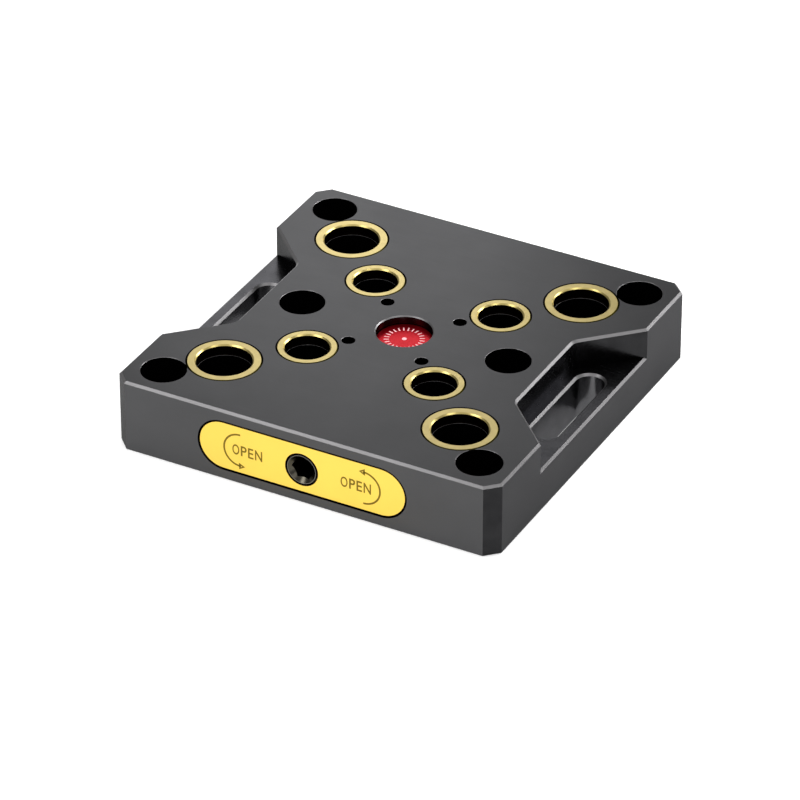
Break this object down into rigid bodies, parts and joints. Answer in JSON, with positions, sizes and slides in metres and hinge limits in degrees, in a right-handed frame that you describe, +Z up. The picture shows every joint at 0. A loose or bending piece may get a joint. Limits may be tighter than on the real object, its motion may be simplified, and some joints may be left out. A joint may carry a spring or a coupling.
{
  "type": "zero-point clamping plate",
  "caption": "Square steel base plate that centres pull studs in two square patterns and pulls them down with diagonal bars, clamped by one front spindle.",
  "frame": {"origin": "centre of the ground base, at the bottom of the plate's box", "axes": "+Z up, square to the top face; the front with the spindle and its yellow plate faces -Y; the clamping ledges are on the X sides"},
  "size_m": [0.155, 0.155, 0.029],
  "materials": {
    "plate_steel": "hardened, fine ground, dark",
    "gold_ring": "hardened, pale gold hard coating",
    "yellow_cover": "satin yellow anodised",
    "red_cap": "satin red anodised",
    "spindle_steel": "hardened and turned",
    "bar_steel": "hardened and ground",
    "nut_steel": "hardened and milled",
    "cover_steel": "ground",
    "screw_steel": "black oxide",
    "spring_steel": "phosphated",
    "seal_rubber": "black rubber",
    "bronze": "turned bronze"
  },
  "bodies": {
    "plate": {"base_plate": "plate_steel", "front_bush": "bronze", "outer_thrust_washer": "bronze", "inner_thrust_washer": "bronze", "retaining_ring": "spring_steel", "rear_bush": "bronze", "front_cover": "yellow_cover", "centre_cap": "red_cap", "bottom_cover": "cover_steel", "bottom_cover_screws": "screw_steel", "spindle_seal": "seal_rubber", "outer_ring_front_left": "gold_ring", "outer_ring_front_right": "gold_ring", "outer_ring_rear_left": "gold_ring", "outer_ring_rear_right": "gold_ring", "inner_ring_front_left": "gold_ring", "inner_ring_front_right": "gold_ring", "inner_ring_rear_left": "gold_ring", "inner_ring_rear_right": "gold_ring", "guide_screw_front_left": "screw_steel", "guide_screw_front_right": "screw_steel", "guide_screw_rear_left": "screw_steel", "guide_screw_rear_right": "screw_steel"},
    "spindle": {"spindle": "spindle_steel"},
    "front_nut": {"front_wedge_nut": "nut_steel"},
    "rear_nut": {"rear_wedge_nut": "nut_steel"},
    "front_left_bar": {"lock_bar_front_left": "bar_steel"},
    "front_right_bar": {"lock_bar_front_right": "bar_steel"},
    "rear_left_bar": {"lock_bar_rear_left": "bar_steel"},
    "rear_right_bar": {"lock_bar_rear_right": "bar_steel"}
  },
  "joints": [
    {"name": "spindle_turn", "type": "hinge", "parent": "plate", "child": "spindle", "pos_m": [0, 0, 0.0137], "axis": [0, 1, 0], "range_deg": [0, 720]},
    {"name": "front_nut_slide", "type": "slide", "parent": "plate", "child": "front_nut", "axis": [0, -1, 0], "range_m": [0, 0.004]},
    {"name": "rear_nut_slide", "type": "slide", "parent": "plate", "child": "rear_nut", "axis": [0, 1, 0], "range_m": [0, 0.004]},
    {"name": "front_left_bar_slide", "type": "slide", "parent": "plate", "child": "front_left_bar", "axis": [-0.7071, -0.7071, 0], "range_m": [0, 0.00283]},
    {"name": "front_right_bar_slide", "type": "slide", "parent": "plate", "child": "front_right_bar", "axis": [0.7071, -0.7071, 0], "range_m": [0, 0.00283]},
    {"name": "rear_left_bar_slide", "type": "slide", "parent": "plate", "child": "rear_left_bar", "axis": [-0.7071, 0.7071, 0], "range_m": [0, 0.00283]},
    {"name": "rear_right_bar_slide", "type": "slide", "parent": "plate", "child": "rear_right_bar", "axis": [0.7071, 0.7071, 0], "range_m": [0, 0.00283]}
  ],
  "couplings": [
    {"joint": "spindle_turn", "follows": "rear_nut_slide", "rad_per_m": 3141.6},
    {"joint": "front_nut_slide", "follows": "rear_nut_slide", "ratio": 1},
    {"joint": "front_left_bar_slide", "follows": "rear_nut_slide", "ratio": 0.7071},
    {"joint": "front_right_bar_slide", "follows": "rear_nut_slide", "ratio": 0.7071},
    {"joint": "rear_left_bar_slide", "follows": "rear_nut_slide", "ratio": 0.7071},
    {"joint": "rear_right_bar_slide", "follows": "rear_nut_slide", "ratio": 0.7071}
  ]
}
